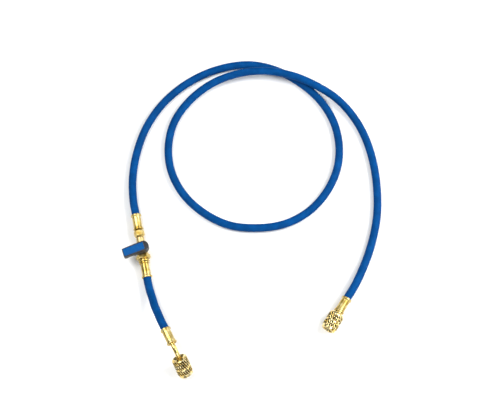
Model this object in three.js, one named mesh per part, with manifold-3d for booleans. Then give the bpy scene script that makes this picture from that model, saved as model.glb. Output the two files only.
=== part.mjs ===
// Refrigerant charging hose: a long flexible hose with a swivel nut on a straight end, and at its
// other end a quarter-turn ball valve, a short whip of the same hose and a bent tube with a swivel nut.
// Millimetres, +Z up, lying on the floor z = 0, with the origin under the middle of its metal fittings.
// Each fitting is built along its own +X axis and then placed by a group.
import * as THREE from "three";
import { mergeVertices } from "three/addons/utils/BufferGeometryUtils.js";
import Module from "manifold-3d";

const wasm = await Module();
wasm.setup();

// Driving dimensions
const gap = 0.3; // clearance left between pieces that touch
const hoseDiameter = 11;
const hoseSides = 12;
const hoseStep = 21; // length of one straight facet along the hose
const roundSides = 28; // facets round a turned piece

const ferrule = {
  length: 22.5, // crimped shell, from the hose to its nose
  lip: 1.3, // wall of the flared lip round the hose
  lipLength: 2.4,
  lipDepth: 1.2, // how deep the hose sits in the lip
  bodyDiameter: 12,
  noseDiameter: 13.8,
  noseLength: 2.2,
  grooveDepth: 0.5,
  grooveWidth: 0.8,
};

const tail = { diameter: 6, depth: 6, bore: 3.2 }; // hose tail that seats in a ferrule's nose

const nut = {
  length: 26.5,
  diameter: 21, // over the knurl
  shoulderDiameter: 15, // where the domed back of the straight nut begins
  domeLength: 6,
  bandDiameter: 19, // smooth band at the mouth
  bandLength: 4,
  grooveWidth: 1.8, // smooth groove between the two knurled bands
  grooveDepth: 0.7,
  grooveFromMouth: 13.6,
  chamfer: 0.8,
  threadDiameter: 12.2, // socket, at the crests of its thread
  socketDepth: 14,
  leadChamfer: 0.7,
  backBore: 8.6,
};
const openBack = { diameter: 14.4, depth: 3.6, rim: 1.2 }; // dished back of the nut on the bent tube

const nose = { thickness: 2.5, shank: 7.8 }; // flange inside the nut that the nut pulls on
const collar = { diameter: 12.4, length: 1.6 }; // ring between the straight ferrule and its nut
const gasket = { thickness: 1.6, bore: 4.4 };
const depressor = { diameter: 2.4, length: 7, standProud: 0.8 };

const bentTube = {
  diameter: 6,
  bendRadius: 18,
  bendDegrees: 45,
  beforeBend: 3,
  afterBend: 4.7,
  shoulderDiameter: 8.4, // ring where the tube leaves its ferrule
  shoulderLength: 1,
  sides: 16,
  steps: 20,
};

const valve = {
  unionFlats: 12.4, // hexagon with rounded ends next to the inlet ferrule
  unionLength: 11,
  unionRound: 2.2, // how far its ends are rounded off
  unionShoulder: 4, // from each end to where its flats are full
  unionClear: 0.5,
  neckDiameter: 11.2,
  neckStart: -20.2, // all along the flow, measured from the stem's axis
  neckInBody: 2, // how far the neck runs on into the body
  bodyStart: -12,
  bodyEnd: 5.2,
  outletFlats: 17,
  outletLength: 6,
  groove: 1.4,
  grooveDiameter: 11.6,
  flangeDiameter: 15,
  flangeLength: 2.6,
  bodyWidth: 14,
  bodyHeight: 14.4,
  inletWidth: 11,
  edgeChamfer: 2.6,
  bossDiameter: 9.4,
  bossHeight: 2.6,
};

const stem = { diameter: 6.4, square: 5, seat: 4.5, squareHeight: 7 };

const handle = {
  lift: 0.6, // air between the boss and the hub
  hubHeight: 14.5,
  hubBack: 10.6, // from the stem's axis to the round end
  hubFront: 7.5,
  reach: 26, // from the stem's axis to the tip
  width: 13.4,
  tipWidth: 12.6,
  tipTop: 10.2, // height of the tip's top edge above the hub's base
  tipThickness: 9.2,
  tipLip: 4, // length of the lip under the tip
  underside: 3, // height of the lever's underside next to the hub
  hollow: 3.2, // height of its underside half-way to the tip
  lugFromHub: 2.4,
  lugLength: 2.2,
  lugDrop: 1.8,
  endChamfer: 3,
  cornerRadius: 1.6,
  turn: -82, // as it lies, 8 degrees short of square across the flow
};
const inset = { border: 1.3, depth: 1.2, fromStem: -3.8 }; // coloured plate let into the lever's top

// Where the three groups of fittings lie on the floor, and the way each one points
const valvePlace = { x: -128.5, y: 60.4, heading: -78.5 };
const straightPlace = { x: 149.8, y: -6.4, heading: -122 };
const elbowPlace = { x: -93, y: -53, heading: -63.5, pitch: 5 };

// Values that follow from the ones above
const hoseRadius = hoseDiameter / 2;
const lipDiameter = hoseDiameter + 2 * (gap + ferrule.lip);
const flangeInNut = nut.threadDiameter - 2 * (gap + 0.1);
const flangeStart = nut.length - nut.socketDepth + gap;
const flangeEnd = flangeStart + nose.thickness;
const gasketStart = flangeEnd + gap;
const gasketEnd = gasketStart + gasket.thickness;
const outletStart = valve.bodyEnd + gap;
const outletGroove = outletStart + valve.outletLength;
const outletFlange = outletGroove + valve.groove;
const outletEnd = outletFlange + valve.flangeLength;
const inletEnd = valve.neckStart - gap;
const inletStart = inletEnd - valve.unionLength;
const valveHeight = valve.outletFlats / 2; // the outlet hexagon lies on one of its flats
const bossTop = valve.bodyHeight / 2 + valve.bossHeight;
const hubBase = bossTop + handle.lift;
const noseTilt = bentTube.bendDegrees - elbowPlace.pitch;
const mouthRadius = nut.bandDiameter / 2 - nut.chamfer;

const radians = THREE.MathUtils.degToRad;
const sine = (degrees) => Math.sin(radians(degrees));
const cosine = (degrees) => Math.cos(radians(degrees));

// Height of the bent end's ferrule at its hose side, with the nut's mouth standing on the floor
const elbowHeight =
  Math.max(
    mouthRadius * cosine(noseTilt),
    (nut.bandDiameter / 2) * cosine(noseTilt) - nut.chamfer * sine(noseTilt),
  ) +
  (nut.length + bentTube.afterBend) * sine(noseTilt) +
  bentTube.bendRadius * (cosine(elbowPlace.pitch) - cosine(noseTilt)) -
  (bentTube.beforeBend + gap + ferrule.length) * sine(elbowPlace.pitch);

const brass = new THREE.MeshStandardMaterial({ color: 0xd9b24c, roughness: 0.25, metalness: 1 });
const forgedBrass = new THREE.MeshStandardMaterial({ color: 0xb8a57e, roughness: 0.45, metalness: 1 });
const blueRubber = new THREE.MeshStandardMaterial({ color: 0x0d5fa8, roughness: 0.5, metalness: 0 });
const blackPlastic = new THREE.MeshStandardMaterial({ color: 0x2b2e36, roughness: 0.45, metalness: 0 });
const bluePlastic = new THREE.MeshStandardMaterial({ color: 0x1468bd, roughness: 0.35, metalness: 0 });
const blackSeal = new THREE.MeshStandardMaterial({ color: 0x1c1c1c, roughness: 0.7, metalness: 0 });

// A closed geometry with only positions, each corner shared by its faces.
function merged(geometry) {
  const bare = new THREE.BufferGeometry();
  bare.setAttribute("position", geometry.getAttribute("position").clone());
  if (geometry.index) bare.setIndex(geometry.index.clone());
  return mergeVertices(bare, 1e-4);
}

function solid(geometry) {
  const clean = merged(geometry);
  return new wasm.Manifold(
    new wasm.Mesh({
      numProp: 3,
      vertProperties: new Float32Array(clean.getAttribute("position").array),
      triVerts: new Uint32Array(clean.index.array),
    }),
  );
}

function geometryOf(made) {
  const mesh = made.getMesh();
  const geometry = new THREE.BufferGeometry();
  geometry.setAttribute("position", new THREE.BufferAttribute(mesh.vertProperties, 3));
  geometry.setIndex(new THREE.BufferAttribute(mesh.triVerts, 1));
  return geometry;
}

function piece(name, shape, material) {
  const geometry = shape.isBufferGeometry ? shape : geometryOf(shape);
  const flat = geometry.index ? geometry.toNonIndexed() : geometry;
  flat.computeVertexNormals();
  const mesh = new THREE.Mesh(flat, material);
  mesh.name = name;
  return mesh;
}

// Turned about X. The profile is a list of [x, radius], going round the section anticlockwise.
function turned(profile, sides = roundSides) {
  const points = profile.map(([along, radius]) => new THREE.Vector2(Math.max(radius, 0), along));
  return merged(new THREE.LatheGeometry(points, sides).rotateZ(-Math.PI / 2));
}

// A turned solid bar from the axis out and back to it.
function bar(profile, sides = roundSides) {
  const first = profile[0][0];
  const last = profile[profile.length - 1][0];
  return turned([[first, 0], ...profile, [last, 0]], sides);
}

function rod(start, end, diameter, sides = roundSides) {
  return bar([[start, diameter / 2], [end, diameter / 2]], sides);
}

// A hexagon bar along X with one flat on top and one underneath.
function hexagon(start, end, acrossFlats) {
  const radius = acrossFlats / 2 / cosine(30);
  const prism = new THREE.CylinderGeometry(radius, radius, end - start, 6);
  return prism.rotateZ(Math.PI / 2).rotateX(radians(30)).translate((start + end) / 2, 0, 0);
}

// An outline of [a, b] points pushed out on both sides of the middle plane by half the width.
function slab(outline, width) {
  const shape = new THREE.Shape(outline.map(([a, b]) => new THREE.Vector2(a, b)));
  return new THREE.ExtrudeGeometry(shape, { depth: width, bevelEnabled: false, curveSegments: 8 })
    .translate(0, 0, -width / 2);
}

// The same outline standing in the XZ plane, pushed out along Y.
const standingSlab = (outline, width) => slab(outline, width).rotateX(Math.PI / 2);

function roundSection(radius, sides) {
  const points = [];
  for (let i = 0; i < sides; i += 1) {
    const angle = (2 * Math.PI * (i + 0.5)) / sides;
    points.push(new THREE.Vector2(radius * Math.cos(angle), radius * Math.sin(angle)));
  }
  return new THREE.Shape(points);
}

function swept(curve, radius, sides, steps) {
  return new THREE.ExtrudeGeometry(roundSection(radius, sides), { extrudePath: curve, steps });
}

// Crimped ferrule from the hose at x = 0 to its nose, with the hose's seat in the lip
// and a hole in the nose for the fitting's tail.
function ferruleShell() {
  const lipRadius = lipDiameter / 2;
  const bodyRadius = ferrule.bodyDiameter / 2;
  const seatRadius = hoseRadius + gap;
  const noseRadius = ferrule.noseDiameter / 2;
  const noseStart = ferrule.length - ferrule.noseLength;
  const grooveStart = noseStart - ferrule.grooveWidth;
  const grooveRadius = bodyRadius - ferrule.grooveDepth;
  const tailRadius = tail.diameter / 2 + gap;
  const tailEnd = ferrule.length - tail.depth - gap;
  return turned([
    [ferrule.lipDepth, 0],
    [ferrule.lipDepth, seatRadius],
    [0, seatRadius],
    [0, lipRadius - 0.4],
    [0.5, lipRadius],
    [ferrule.lipLength, lipRadius],
    [ferrule.lipLength + 1, bodyRadius],
    [grooveStart, bodyRadius],
    [grooveStart + 0.2, grooveRadius],
    [noseStart, grooveRadius],
    [noseStart + 0.3, noseRadius],
    [ferrule.length - 0.4, noseRadius],
    [ferrule.length, noseRadius - 0.5],
    [ferrule.length, tailRadius],
    [tailEnd, tailRadius],
    [tailEnd, 0],
  ]);
}

// The nut's outside in front of its back, from the groove to the mouth, and its socket.
function nutFront() {
  const knurl = nut.diameter / 2;
  const band = nut.bandDiameter / 2;
  const thread = nut.threadDiameter / 2;
  const grooveStart = nut.length - nut.grooveFromMouth;
  const grooveEnd = grooveStart + nut.grooveWidth;
  const bandStart = nut.length - nut.bandLength;
  return [
    [grooveStart - 0.5, knurl],
    [grooveStart, knurl - nut.grooveDepth],
    [grooveEnd, knurl - nut.grooveDepth],
    [grooveEnd + 0.5, knurl],
    [bandStart - 0.8, knurl],
    [bandStart, band],
    [nut.length - nut.chamfer, band],
    [nut.length, mouthRadius],
    [nut.length, thread + nut.leadChamfer],
    [nut.length - nut.leadChamfer, thread],
    [nut.length - nut.socketDepth, thread],
    [nut.length - nut.socketDepth, nut.backBore / 2],
  ];
}

// Straight nut: its back is a dome that closes on the collar.
function domedNut() {
  const shoulder = nut.shoulderDiameter / 2;
  const rise = nut.diameter / 2 - shoulder;
  const dome = [];
  const domeSteps = 5;
  for (let i = 0; i <= domeSteps; i += 1) {
    const angle = (90 * i) / domeSteps;
    dome.push([nut.domeLength * (1 - cosine(angle)), shoulder + rise * sine(angle)]);
  }
  const profile = [[0, nut.backBore / 2], ...dome, ...nutFront()];
  return turned([...profile, profile[0]]);
}

// Nut of the bent end: its back is dished, with the tube in the middle.
function dishedNut() {
  const knurl = nut.diameter / 2;
  const dish = openBack.diameter / 2;
  const profile = [
    [openBack.depth, nut.backBore / 2],
    [openBack.depth - 0.8, dish - 1.4],
    [0.4, dish],
    [0, dish + 0.4],
    [0, knurl - openBack.rim],
    [openBack.rim, knurl],
    ...nutFront(),
  ];
  return turned([...profile, profile[0]]);
}

// Straight end, from the collar at x = 0 to the flange inside the nut, with its tail behind.
function straightStem() {
  const bore = tail.bore / 2;
  const tailRadius = tail.diameter / 2;
  const shank = nose.shank / 2;
  const nutBack = collar.length + gap;
  const profile = [
    [-tail.depth, bore],
    [-tail.depth, tailRadius],
    [0, tailRadius],
    [0, collar.diameter / 2],
    [collar.length, collar.diameter / 2],
    [collar.length, shank],
    [nutBack + flangeStart, shank],
    [nutBack + flangeStart, flangeInNut / 2],
    [nutBack + flangeEnd, flangeInNut / 2],
    [nutBack + flangeEnd, bore],
  ];
  return turned([...profile, profile[0]]);
}

function gasketRing() {
  const outer = flangeInNut / 2;
  const inner = gasket.bore / 2;
  const profile = [
    [gasketStart, inner],
    [gasketStart, outer],
    [gasketEnd, outer],
    [gasketEnd, inner],
  ];
  return turned([...profile, profile[0]]);
}

// Middle line of the bent tube in the XZ plane: straight, a bend downwards, straight.
class BentLine extends THREE.Curve {
  constructor(start, bendStart, after) {
    super();
    this.start = start;
    this.bendStart = bendStart;
    this.before = bendStart - start;
    this.bend = bentTube.bendRadius * radians(bentTube.bendDegrees);
    this.total = this.before + this.bend + after;
  }

  getPoint(t, target = new THREE.Vector3()) {
    const along = t * this.total;
    if (along <= this.before) return target.set(this.start + along, 0, 0);
    const bent = Math.min((along - this.before) / bentTube.bendRadius, radians(bentTube.bendDegrees));
    const rest = Math.max(along - this.before - this.bend, 0);
    const x = this.bendStart + bentTube.bendRadius * Math.sin(bent) + rest * Math.cos(bent);
    const z = -bentTube.bendRadius * (1 - Math.cos(bent)) - rest * Math.sin(bent);
    return target.set(x, 0, z);
  }
}

const elbowTubeStart = ferrule.length + gap - tail.depth - gap;
const elbowBendStart = ferrule.length + gap + bentTube.beforeBend;
const nutBackX =
  elbowBendStart +
  bentTube.bendRadius * sine(bentTube.bendDegrees) +
  bentTube.afterBend * cosine(bentTube.bendDegrees);
const nutBackZ =
  -bentTube.bendRadius * (1 - cosine(bentTube.bendDegrees)) -
  bentTube.afterBend * sine(bentTube.bendDegrees);

// Turns and moves a shape from the bent end's nut frame into its ferrule's frame.
function atNoseOf(geometry) {
  return geometry.rotateY(radians(bentTube.bendDegrees)).translate(nutBackX, 0, nutBackZ);
}

function elbowTube() {
  const intoNut = bentTube.afterBend + flangeStart + 0.8;
  const outside = new BentLine(elbowTubeStart, elbowBendStart, intoNut);
  const inside = new BentLine(elbowTubeStart - 1, elbowBendStart, intoNut + nose.thickness);
  const flange = atNoseOf(rod(flangeStart, flangeEnd, flangeInNut));
  const shoulderStart = ferrule.length + gap;
  const shoulder = rod(shoulderStart, shoulderStart + bentTube.shoulderLength, bentTube.shoulderDiameter);
  return solid(swept(outside, bentTube.diameter / 2, bentTube.sides, bentTube.steps))
    .add(solid(flange))
    .add(solid(shoulder))
    .subtract(solid(swept(inside, tail.bore / 2, bentTube.sides, bentTube.steps)));
}

function coreDepressor() {
  const tip = gasketEnd + depressor.standProud;
  const radius = depressor.diameter / 2;
  return bar([
    [tip - depressor.length, radius],
    [tip - 0.4, radius],
    [tip, radius - 0.4],
  ], 12);
}

// Inlet union: a hexagon with both ends rounded off, and tails into the ferrule and the body.
function inletUnion() {
  const corner = valve.unionFlats / 2 / cosine(30);
  const roundedEnds = bar([
    [inletStart, corner * 0.74],
    [inletStart + valve.unionRound, corner * 0.98],
    [inletStart + valve.unionShoulder, corner + valve.unionClear],
    [inletEnd - valve.unionShoulder, corner + valve.unionClear],
    [inletEnd - valve.unionRound, corner * 0.95],
    [inletEnd, corner * 0.66],
  ]);
  const tails = rod(inletStart - gap - tail.depth, inletEnd + tail.depth, tail.diameter);
  return solid(hexagon(inletStart, inletEnd, valve.unionFlats))
    .intersect(solid(roundedEnds))
    .add(solid(tails));
}

// Forged body: flat faces that narrow towards the round inlet neck, with the stem's boss on top.
function valveBody() {
  const halfEnd = valve.bodyWidth / 2;
  const halfInlet = valve.inletWidth / 2;
  const halfHeight = valve.bodyHeight / 2;
  const inletHalfHeight = halfHeight - (halfEnd - halfInlet);
  const shoulderX = -valve.bossDiameter / 2 - 1;
  const plan = [
    [valve.bodyStart, -halfInlet],
    [shoulderX, -halfEnd],
    [valve.bodyEnd, -halfEnd],
    [valve.bodyEnd, halfEnd],
    [shoulderX, halfEnd],
    [valve.bodyStart, halfInlet],
  ];
  const side = [
    [valve.bodyStart, inletHalfHeight],
    [shoulderX, halfHeight],
    [valve.bodyEnd, halfHeight],
    [valve.bodyEnd, -halfHeight],
    [shoulderX, -halfHeight],
    [valve.bodyStart, -inletHalfHeight],
  ];
  const cut = valve.edgeChamfer;
  const eightSided = [
    [-halfEnd, -halfHeight + cut],
    [-halfEnd + cut, -halfHeight],
    [halfEnd - cut, -halfHeight],
    [halfEnd, -halfHeight + cut],
    [halfEnd, halfHeight - cut],
    [halfEnd - cut, halfHeight],
    [-halfEnd + cut, halfHeight],
    [-halfEnd, halfHeight - cut],
  ];
  const length = 2 * Math.max(-valve.bodyStart, valve.bodyEnd) + 2;
  const eightSidedBar = slab(eightSided, length).rotateX(Math.PI / 2).rotateZ(Math.PI / 2);
  const neck = rod(valve.neckStart, valve.bodyStart + valve.neckInBody, valve.neckDiameter);
  const boss = rod(0, bossTop, valve.bossDiameter).rotateY(-Math.PI / 2);
  const tailRadius = tail.diameter / 2 + gap;
  const inletHole = rod(valve.neckStart - 1, inletEnd + tail.depth + gap, 2 * tailRadius);
  const outletHole = rod(valve.bodyEnd - tail.depth - gap, valve.bodyEnd + 1, 2 * tailRadius);
  const stemHole = rod(stem.seat - gap, bossTop + 1, stem.diameter + 2 * gap).rotateY(-Math.PI / 2);
  return solid(slab(plan, valve.bodyHeight + 1))
    .intersect(solid(standingSlab(side, valve.bodyWidth + 1)))
    .intersect(solid(eightSidedBar))
    .add(solid(neck))
    .add(solid(boss))
    .subtract(solid(inletHole))
    .subtract(solid(outletHole))
    .subtract(solid(stemHole));
}

// Outlet fitting: a hexagon, a groove and a round flange in one piece, with a tail at each end.
function outletFitting() {
  const corner = valve.outletFlats / 2 / cosine(30);
  const bevel = bar([
    [outletStart, valve.outletFlats / 2],
    [outletStart + 1, corner],
    [outletGroove - 1, corner],
    [outletGroove, valve.outletFlats / 2],
  ]);
  const turnedPart = bar([
    [outletStart - tail.depth, tail.diameter / 2],
    [outletStart + 0.1, tail.diameter / 2],
    [outletStart + 0.1, valve.grooveDiameter / 2],
    [outletFlange, valve.grooveDiameter / 2],
    [outletFlange + 0.5, valve.flangeDiameter / 2],
    [outletEnd - 0.5, valve.flangeDiameter / 2],
    [outletEnd, ferrule.noseDiameter / 2],
    [outletEnd, tail.diameter / 2],
    [outletEnd + gap + tail.depth, tail.diameter / 2],
  ]);
  return solid(hexagon(outletStart, outletGroove, valve.outletFlats))
    .intersect(solid(bevel))
    .add(solid(turnedPart));
}

// Stem: round in the boss, square in the handle's hub.
function valveStem() {
  const round = rod(stem.seat, hubBase, stem.diameter).rotateY(-Math.PI / 2);
  const half = stem.square / 2;
  const square = new THREE.BoxGeometry(2 * half, 2 * half, stem.squareHeight + 1);
  const middle = hubBase + (stem.squareHeight - 1) / 2;
  return solid(round).add(solid(square.translate(0, 0, middle)));
}

// Slope of the lever's top, from the hub's top edge down to the tip
const slopeStart = inset.fromStem - inset.border;
const slopeRun = handle.reach - slopeStart;
const slopeDrop = handle.hubHeight - handle.tipTop;
const slopeAngle = Math.atan2(slopeDrop, slopeRun);

// A plate that lies on the slope, from inset.fromStem to the tip's border, grown by extra.
function slopedPlate(bottom, top, extra) {
  const length = slopeRun / Math.cos(slopeAngle) - 2 * inset.border + 2 * extra;
  const width = handle.tipWidth - 2 * inset.border + 2 * extra;
  const plate = new THREE.BoxGeometry(length, width, top - bottom);
  return plate
    .translate(length / 2 + inset.border - extra, 0, (top + bottom) / 2)
    .rotateY(slopeAngle)
    .translate(slopeStart, 0, hubBase + handle.hubHeight);
}

// Lever: its side outline cut by its plan outline, with the stem's square socket and the inset's seat.
function leverHandle() {
  const lugStart = handle.hubFront + handle.lugFromHub;
  const tipUnder = handle.tipTop - handle.tipThickness;
  const middle = (lugStart + handle.lugLength + handle.reach) / 2;
  const side = [
    [-handle.hubBack, 0],
    [handle.hubFront, 0],
    [handle.hubFront + 0.6, handle.underside],
    [lugStart, handle.underside],
    [lugStart, handle.underside - handle.lugDrop],
    [lugStart + handle.lugLength, handle.underside - handle.lugDrop],
    [lugStart + handle.lugLength + 0.6, handle.underside + 0.4],
    [middle, handle.hollow],
    [handle.reach - handle.tipLip, tipUnder],
    [handle.reach - 1.2, tipUnder + 0.3],
    [handle.reach, tipUnder + 1.6],
    [handle.reach, handle.tipTop],
    [slopeStart, handle.hubHeight],
    [-handle.hubBack + handle.endChamfer, handle.hubHeight - 0.6],
    [-handle.hubBack, handle.hubHeight - 0.6 - handle.endChamfer],
  ].map(([along, up]) => [along, hubBase + up]);
  const half = handle.width / 2;
  const tipHalf = handle.tipWidth / 2;
  const plan = new THREE.Shape();
  plan.moveTo(handle.hubFront, -half);
  plan.lineTo(handle.reach - handle.cornerRadius, -tipHalf);
  plan.lineTo(handle.reach, -tipHalf + handle.cornerRadius);
  plan.lineTo(handle.reach, tipHalf - handle.cornerRadius);
  plan.lineTo(handle.reach - handle.cornerRadius, tipHalf);
  plan.lineTo(handle.hubFront, half);
  const endSteps = 8;
  for (let i = 0; i <= endSteps; i += 1) {
    const angle = 90 + (180 * i) / endSteps;
    plan.lineTo(-handle.hubBack + half + half * cosine(angle), half * sine(angle));
  }
  const planSlab = new THREE.ExtrudeGeometry(plan, { depth: 2 * handle.hubHeight, bevelEnabled: false });
  const socket = new THREE.BoxGeometry(
    stem.square + 2 * gap,
    stem.square + 2 * gap,
    stem.squareHeight + gap + 1,
  ).translate(0, 0, hubBase + (stem.squareHeight + gap - 1) / 2);
  return solid(standingSlab(side, handle.width + 1))
    .intersect(solid(planSlab.translate(0, 0, hubBase - 1)))
    .subtract(solid(socket))
    .subtract(solid(slopedPlate(-inset.depth, 1, gap)));
}

function placed(place, height, ...children) {
  const group = new THREE.Group();
  group.position.set(place.x, place.y, height);
  group.rotation.z = radians(place.heading);
  group.add(...children);
  return group;
}

function shifted(object, x) {
  object.position.x = x;
  return object;
}

// Ferrules turned to face the other way sit on the far side of their hose.
function ferruleAt(name, x, towardsPlusX) {
  const shell = towardsPlusX ? ferruleShell() : ferruleShell().rotateZ(Math.PI);
  return shifted(piece(name, shell, brass), x);
}

const inletHoseEnd = inletStart - gap - ferrule.length;
const outletHoseEnd = outletEnd + gap + ferrule.length;

const lever = new THREE.Group();
lever.rotation.z = radians(handle.turn);
lever.add(
  piece("valve_stem", valveStem(), brass),
  piece("valve_handle", leverHandle(), blackPlastic),
  piece("handle_inset", slopedPlate(gap - inset.depth, 0, 0), bluePlastic),
);

const valveGroup = placed(
  valvePlace,
  valveHeight,
  ferruleAt("valve_inlet_ferrule", inletHoseEnd, true),
  piece("valve_inlet_union", inletUnion(), brass),
  piece("valve_body", valveBody(), forgedBrass),
  piece("valve_outlet_fitting", outletFitting(), brass),
  ferruleAt("valve_outlet_ferrule", outletHoseEnd, false),
  lever,
);

const straightNutX = ferrule.length + gap + collar.length + gap;
const straightGroup = placed(
  straightPlace,
  nut.diameter / 2, // the nut lies on its knurl
  ferruleAt("straight_ferrule", 0, true),
  shifted(piece("straight_stem", straightStem(), brass), ferrule.length + gap),
  shifted(piece("straight_nut", domedNut(), brass), straightNutX),
  shifted(piece("straight_gasket", gasketRing(), blackSeal), straightNutX),
);

const elbowNose = new THREE.Group();
elbowNose.position.set(nutBackX, 0, nutBackZ);
elbowNose.rotation.y = radians(bentTube.bendDegrees);
elbowNose.add(
  piece("elbow_nut", dishedNut(), brass),
  piece("elbow_gasket", gasketRing(), blackSeal),
  piece("core_depressor", coreDepressor(), brass),
);
const elbowPitch = new THREE.Group();
elbowPitch.rotation.y = -radians(elbowPlace.pitch);
elbowPitch.add(
  ferruleAt("elbow_ferrule", 0, true),
  piece("elbow_tube", elbowTube(), brass),
  elbowNose,
);
const elbowGroup = placed(elbowPlace, elbowHeight, elbowPitch);

// The point at distance x along a placed fitting's axis.
function onAxis(place, height, x, pitch = 0) {
  const level = x * cosine(pitch);
  return new THREE.Vector3(
    place.x + level * cosine(place.heading),
    place.y + level * sine(place.heading),
    height + x * sine(pitch),
  );
}

// Free hose from one ferrule's seat to the next, straight out of each and then through its route.
function hose(name, from, route, to) {
  const points = [...from, ...route.map(([x, y, z]) => new THREE.Vector3(x, y, z)), ...to];
  const curve = new THREE.CatmullRomCurve3(points, false, "centripetal");
  curve.arcLengthDivisions = 1000;
  const steps = Math.round(curve.getLength() / hoseStep);
  return piece(name, merged(swept(curve, hoseRadius, hoseSides, steps)), blueRubber);
}

const seat = ferrule.lipDepth - gap; // the hose's end inside the lip
const straightOut = 2 * hoseDiameter;
const whipStraightOut = 6;
const floorHeight = hoseRadius + 0.05; // a hair above the floor

// From the valve up the left, over the top, down the right, round the loop and over itself, then down
// to the straight end. Points chosen by hand on the floor, where the hose lies.
const mainRoute = [
  [-146, 171, floorHeight],
  [-141.5, 208, floorHeight],
  [-128, 250, floorHeight],
  [-102, 290, floorHeight],
  [-63, 323, floorHeight],
  [-20, 342, floorHeight],
  [22, 347, floorHeight],
  [60, 337, floorHeight],
  [94, 316, floorHeight],
  [120, 290, floorHeight],
  [138, 258, floorHeight],
  [145.5, 223, floorHeight],
  [142.5, 186, floorHeight],
  [127, 150, floorHeight],
  [101, 120, floorHeight],
  [66, 101, floorHeight],
  [27, 95.5, floorHeight],
  [-11, 100, floorHeight],
  [-46, 118, floorHeight],
  [-74, 145, floorHeight],
  [-92, 180, floorHeight],
  [-97, 218, floorHeight],
  [-89, 257, floorHeight],
  [-66, 291, 7],
  [-33, 316, 11],
  [7, 329, 15.5],
  [46, 331, 17.2],
  [84, 322.5, 17.4],
  [116, 308, 15],
  [143, 291, 10.5],
  [165, 267, 6.8],
  [182, 235, floorHeight],
  [192.5, 197, floorHeight],
  [197, 156, floorHeight],
  [195.5, 114, floorHeight],
  [188, 78, floorHeight],
  [177, 46, 6.4],
];
const whipRoute = [
  [-116.3, 4.2, 9.6],
  [-112.6, -6.4, 12.2],
  [-108.3, -19.7, 18.1],
  [-103.9, -29.9, 23.2],
  [-99.7, -39.5, 26.5],
];

const mainHose = hose(
  "main_hose",
  [
    onAxis(valvePlace, valveHeight, inletHoseEnd + seat),
    onAxis(valvePlace, valveHeight, inletHoseEnd - straightOut),
  ],
  mainRoute,
  [
    onAxis(straightPlace, nut.diameter / 2, -straightOut),
    onAxis(straightPlace, nut.diameter / 2, seat),
  ],
);

const whipHose = hose(
  "whip_hose",
  [
    onAxis(valvePlace, valveHeight, outletHoseEnd - seat),
    onAxis(valvePlace, valveHeight, outletHoseEnd + whipStraightOut),
  ],
  whipRoute,
  [
    onAxis(elbowPlace, elbowHeight, -whipStraightOut, elbowPlace.pitch),
    onAxis(elbowPlace, elbowHeight, seat, elbowPlace.pitch),
  ],
);

const chargingHose = new THREE.Group();
chargingHose.add(valveGroup, straightGroup, elbowGroup, mainHose, whipHose);

export default chargingHose;
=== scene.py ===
import math

import bmesh
import bpy
import numpy as np
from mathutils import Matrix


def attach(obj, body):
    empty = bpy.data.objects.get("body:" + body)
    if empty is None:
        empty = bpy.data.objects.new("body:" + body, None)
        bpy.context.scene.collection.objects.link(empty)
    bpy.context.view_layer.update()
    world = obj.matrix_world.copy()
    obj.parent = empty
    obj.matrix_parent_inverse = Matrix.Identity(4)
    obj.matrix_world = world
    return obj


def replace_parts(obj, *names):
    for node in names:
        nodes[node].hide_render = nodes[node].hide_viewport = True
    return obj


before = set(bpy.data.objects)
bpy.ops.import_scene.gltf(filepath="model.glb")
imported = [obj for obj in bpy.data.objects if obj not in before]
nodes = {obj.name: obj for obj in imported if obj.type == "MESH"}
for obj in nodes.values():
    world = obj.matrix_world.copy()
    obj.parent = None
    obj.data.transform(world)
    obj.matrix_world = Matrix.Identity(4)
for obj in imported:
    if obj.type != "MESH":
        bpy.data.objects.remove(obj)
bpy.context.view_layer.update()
mm = 0.001
tau = 2 * math.pi


def pose(x=0, y=0, z=0, heading=0, pitch=0):
    # A place as a 4 x 4 matrix: tipped up by pitch about Y, turned by heading about Z, then moved.
    a, b = math.radians(heading), math.radians(-pitch)
    turn = np.array([[math.cos(a), -math.sin(a), 0], [math.sin(a), math.cos(a), 0], [0, 0, 1]])
    tip = np.array([[math.cos(b), 0, math.sin(b)], [0, 1, 0], [-math.sin(b), 0, math.cos(b)]])
    place = np.eye(4)
    place[:3, :3] = turn @ tip
    place[:3, 3] = (x, y, z)
    return place


def atPlace(place, points):
    return points @ place[:3, :3].T + place[:3, 3]


# Where the fittings lie, as in the CAD source, and where each piece starts along its fitting
layout = {
    "gap": 0.3,
    "valve": pose(-128.5, 60.4, 8.5, heading=-78.5),  # at the stem's axis, along the flow
    "straight": pose(149.8, -6.4, 10.5, heading=-122),  # at the ferrule's hose end
    "elbow": pose(-93, -53, 28.7374, heading=-63.5, pitch=5),
    "ferruleLength": 22.5,
    "inletHoseEnd": -54.3,
    "outletHoseEnd": 38.3,
    "hubBase": 10.4,
    "seat": 0.9,  # how far the hose reaches into the ferrule's lip
}

camera = {
    "target": (19, 135, 0),
    "elevation": 70,
    "distance": 1557,
    "lens": 80,
    "sensor": 36,
}


def makeCamera():
    up = math.radians(camera["elevation"])
    data = bpy.data.cameras.new("camera")
    data.lens = camera["lens"]
    data.sensor_width = camera["sensor"]
    data.clip_start = 0.05
    data.clip_end = 20
    eye = bpy.data.objects.new("camera", data)
    x, y, z = camera["target"]
    back = camera["distance"] * math.cos(up)
    eye.location = (x * mm, (y - back) * mm, (z + camera["distance"] * math.sin(up)) * mm)
    eye.rotation_euler = (math.pi / 2 - up, 0, 0)
    bpy.context.scene.collection.objects.link(eye)
    bpy.context.scene.camera = eye


makeCamera()
print("camera set")


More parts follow.
